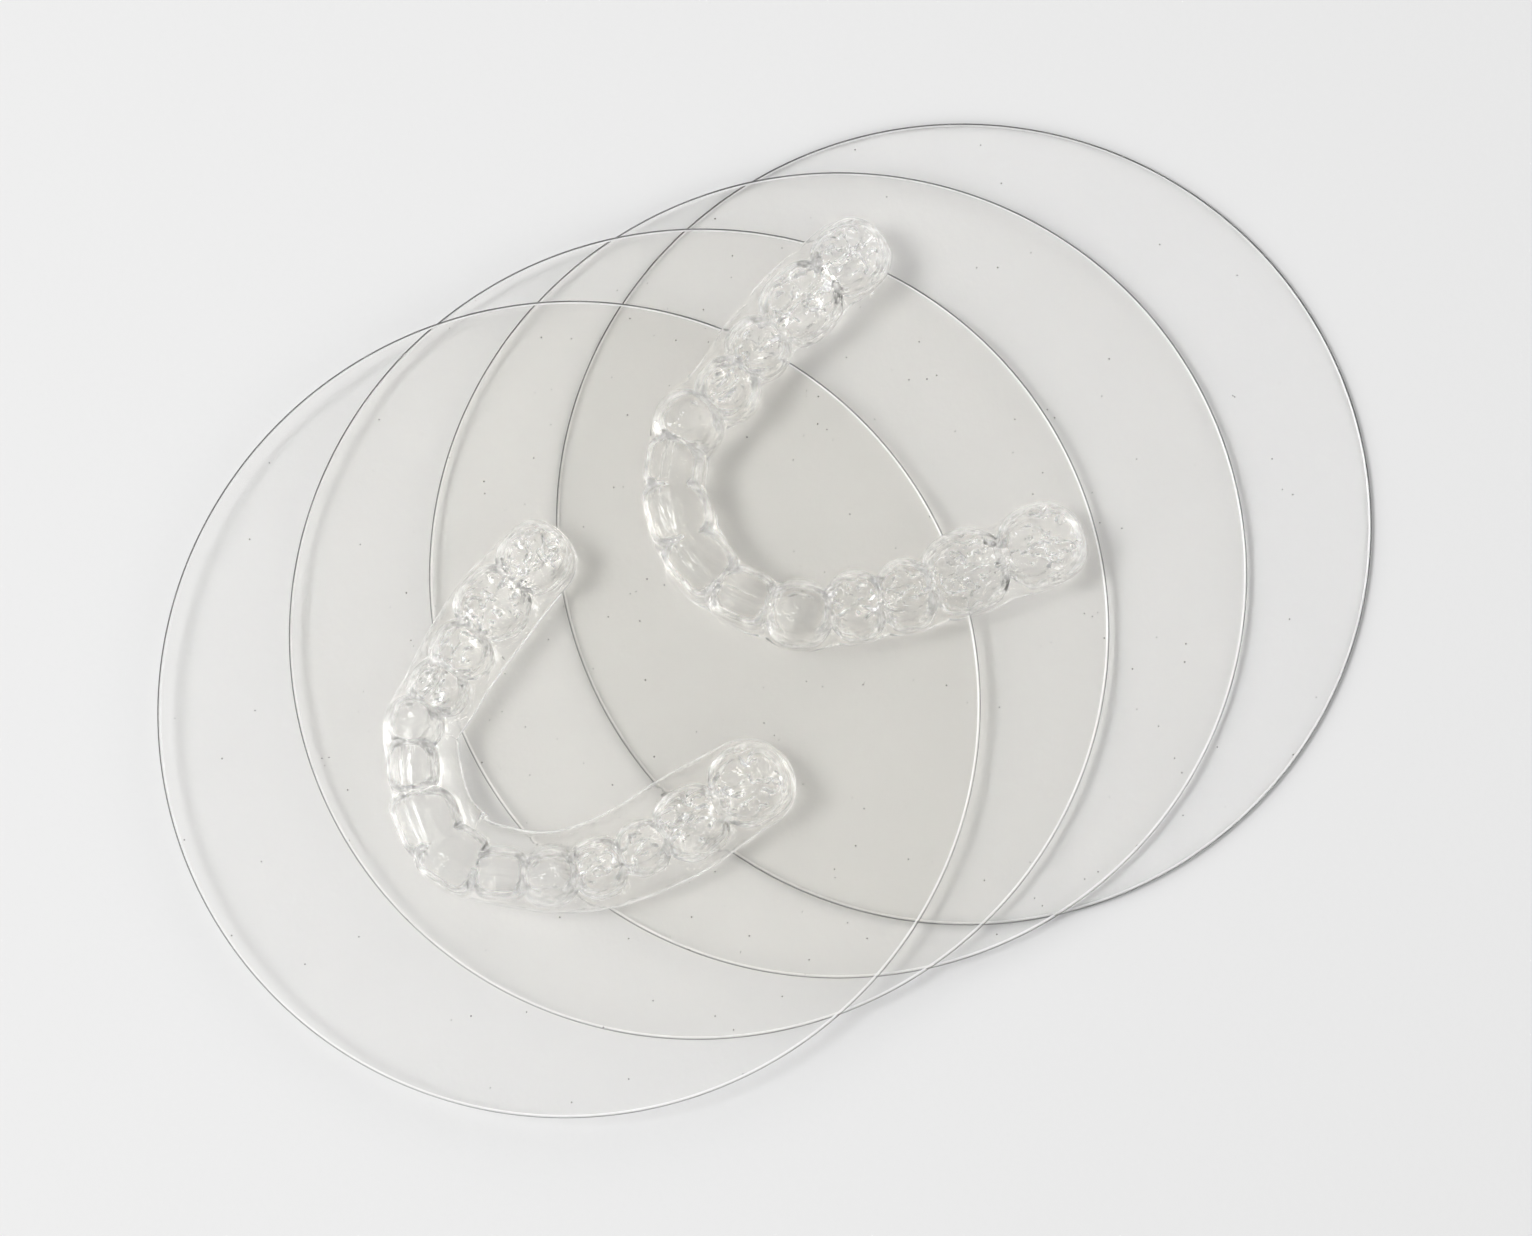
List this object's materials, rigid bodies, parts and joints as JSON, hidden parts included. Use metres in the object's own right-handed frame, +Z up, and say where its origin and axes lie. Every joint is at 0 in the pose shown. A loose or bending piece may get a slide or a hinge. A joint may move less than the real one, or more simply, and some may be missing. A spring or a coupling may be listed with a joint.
{
  "type": "dental impression tray set",
  "caption": "Clear thermoformed dental arch trays, one trimmed along the gum line and one cut straight, lying on a fan of the round clear sheet blanks they are formed from.",
  "frame": {"origin": "middle of the set's footprint, on the surface that it lies on", "axes": "+X along the fan, from the highest blank towards the lowest; +Y across it, away from the viewer; +Z up"},
  "size_m": [0.1918, 0.127, 0.0159],
  "materials": {
    "clear_sheet": "clear extruded sheet, flat and glossy with faint handling marks",
    "formed_tray": "clear thermoformed shell, glossy, with the fine texture of the model it was drawn over"
  },
  "bodies": {
    "blank_disc_1": {"blank_disc_1": "clear_sheet"},
    "blank_disc_2": {"blank_disc_2": "clear_sheet"},
    "blank_disc_3": {"blank_disc_3": "clear_sheet"},
    "blank_disc_4": {"blank_disc_4": "clear_sheet"},
    "scalloped_tray": {"scalloped_tray": "formed_tray"},
    "straight_cut_tray": {"straight_cut_tray": "formed_tray"}
  },
  "joints": [
    {"name": "lift_blank_2", "type": "slide", "parent": "blank_disc_1", "child": "blank_disc_2", "axis": [0, 0, 1], "range_m": [0, 0.04]},
    {"name": "lift_blank_3", "type": "slide", "parent": "blank_disc_2", "child": "blank_disc_3", "axis": [0, 0, 1], "range_m": [0, 0.04]},
    {"name": "lift_blank_4", "type": "slide", "parent": "blank_disc_3", "child": "blank_disc_4", "axis": [0, 0, 1], "range_m": [0, 0.04]},
    {"name": "lift_scalloped_tray", "type": "slide", "parent": "blank_disc_4", "child": "scalloped_tray", "axis": [0, 0, 1], "range_m": [0, 0.05]},
    {"name": "lift_straight_cut_tray", "type": "slide", "parent": "blank_disc_4", "child": "straight_cut_tray", "axis": [0, 0, 1], "range_m": [0, 0.05]}
  ]
}
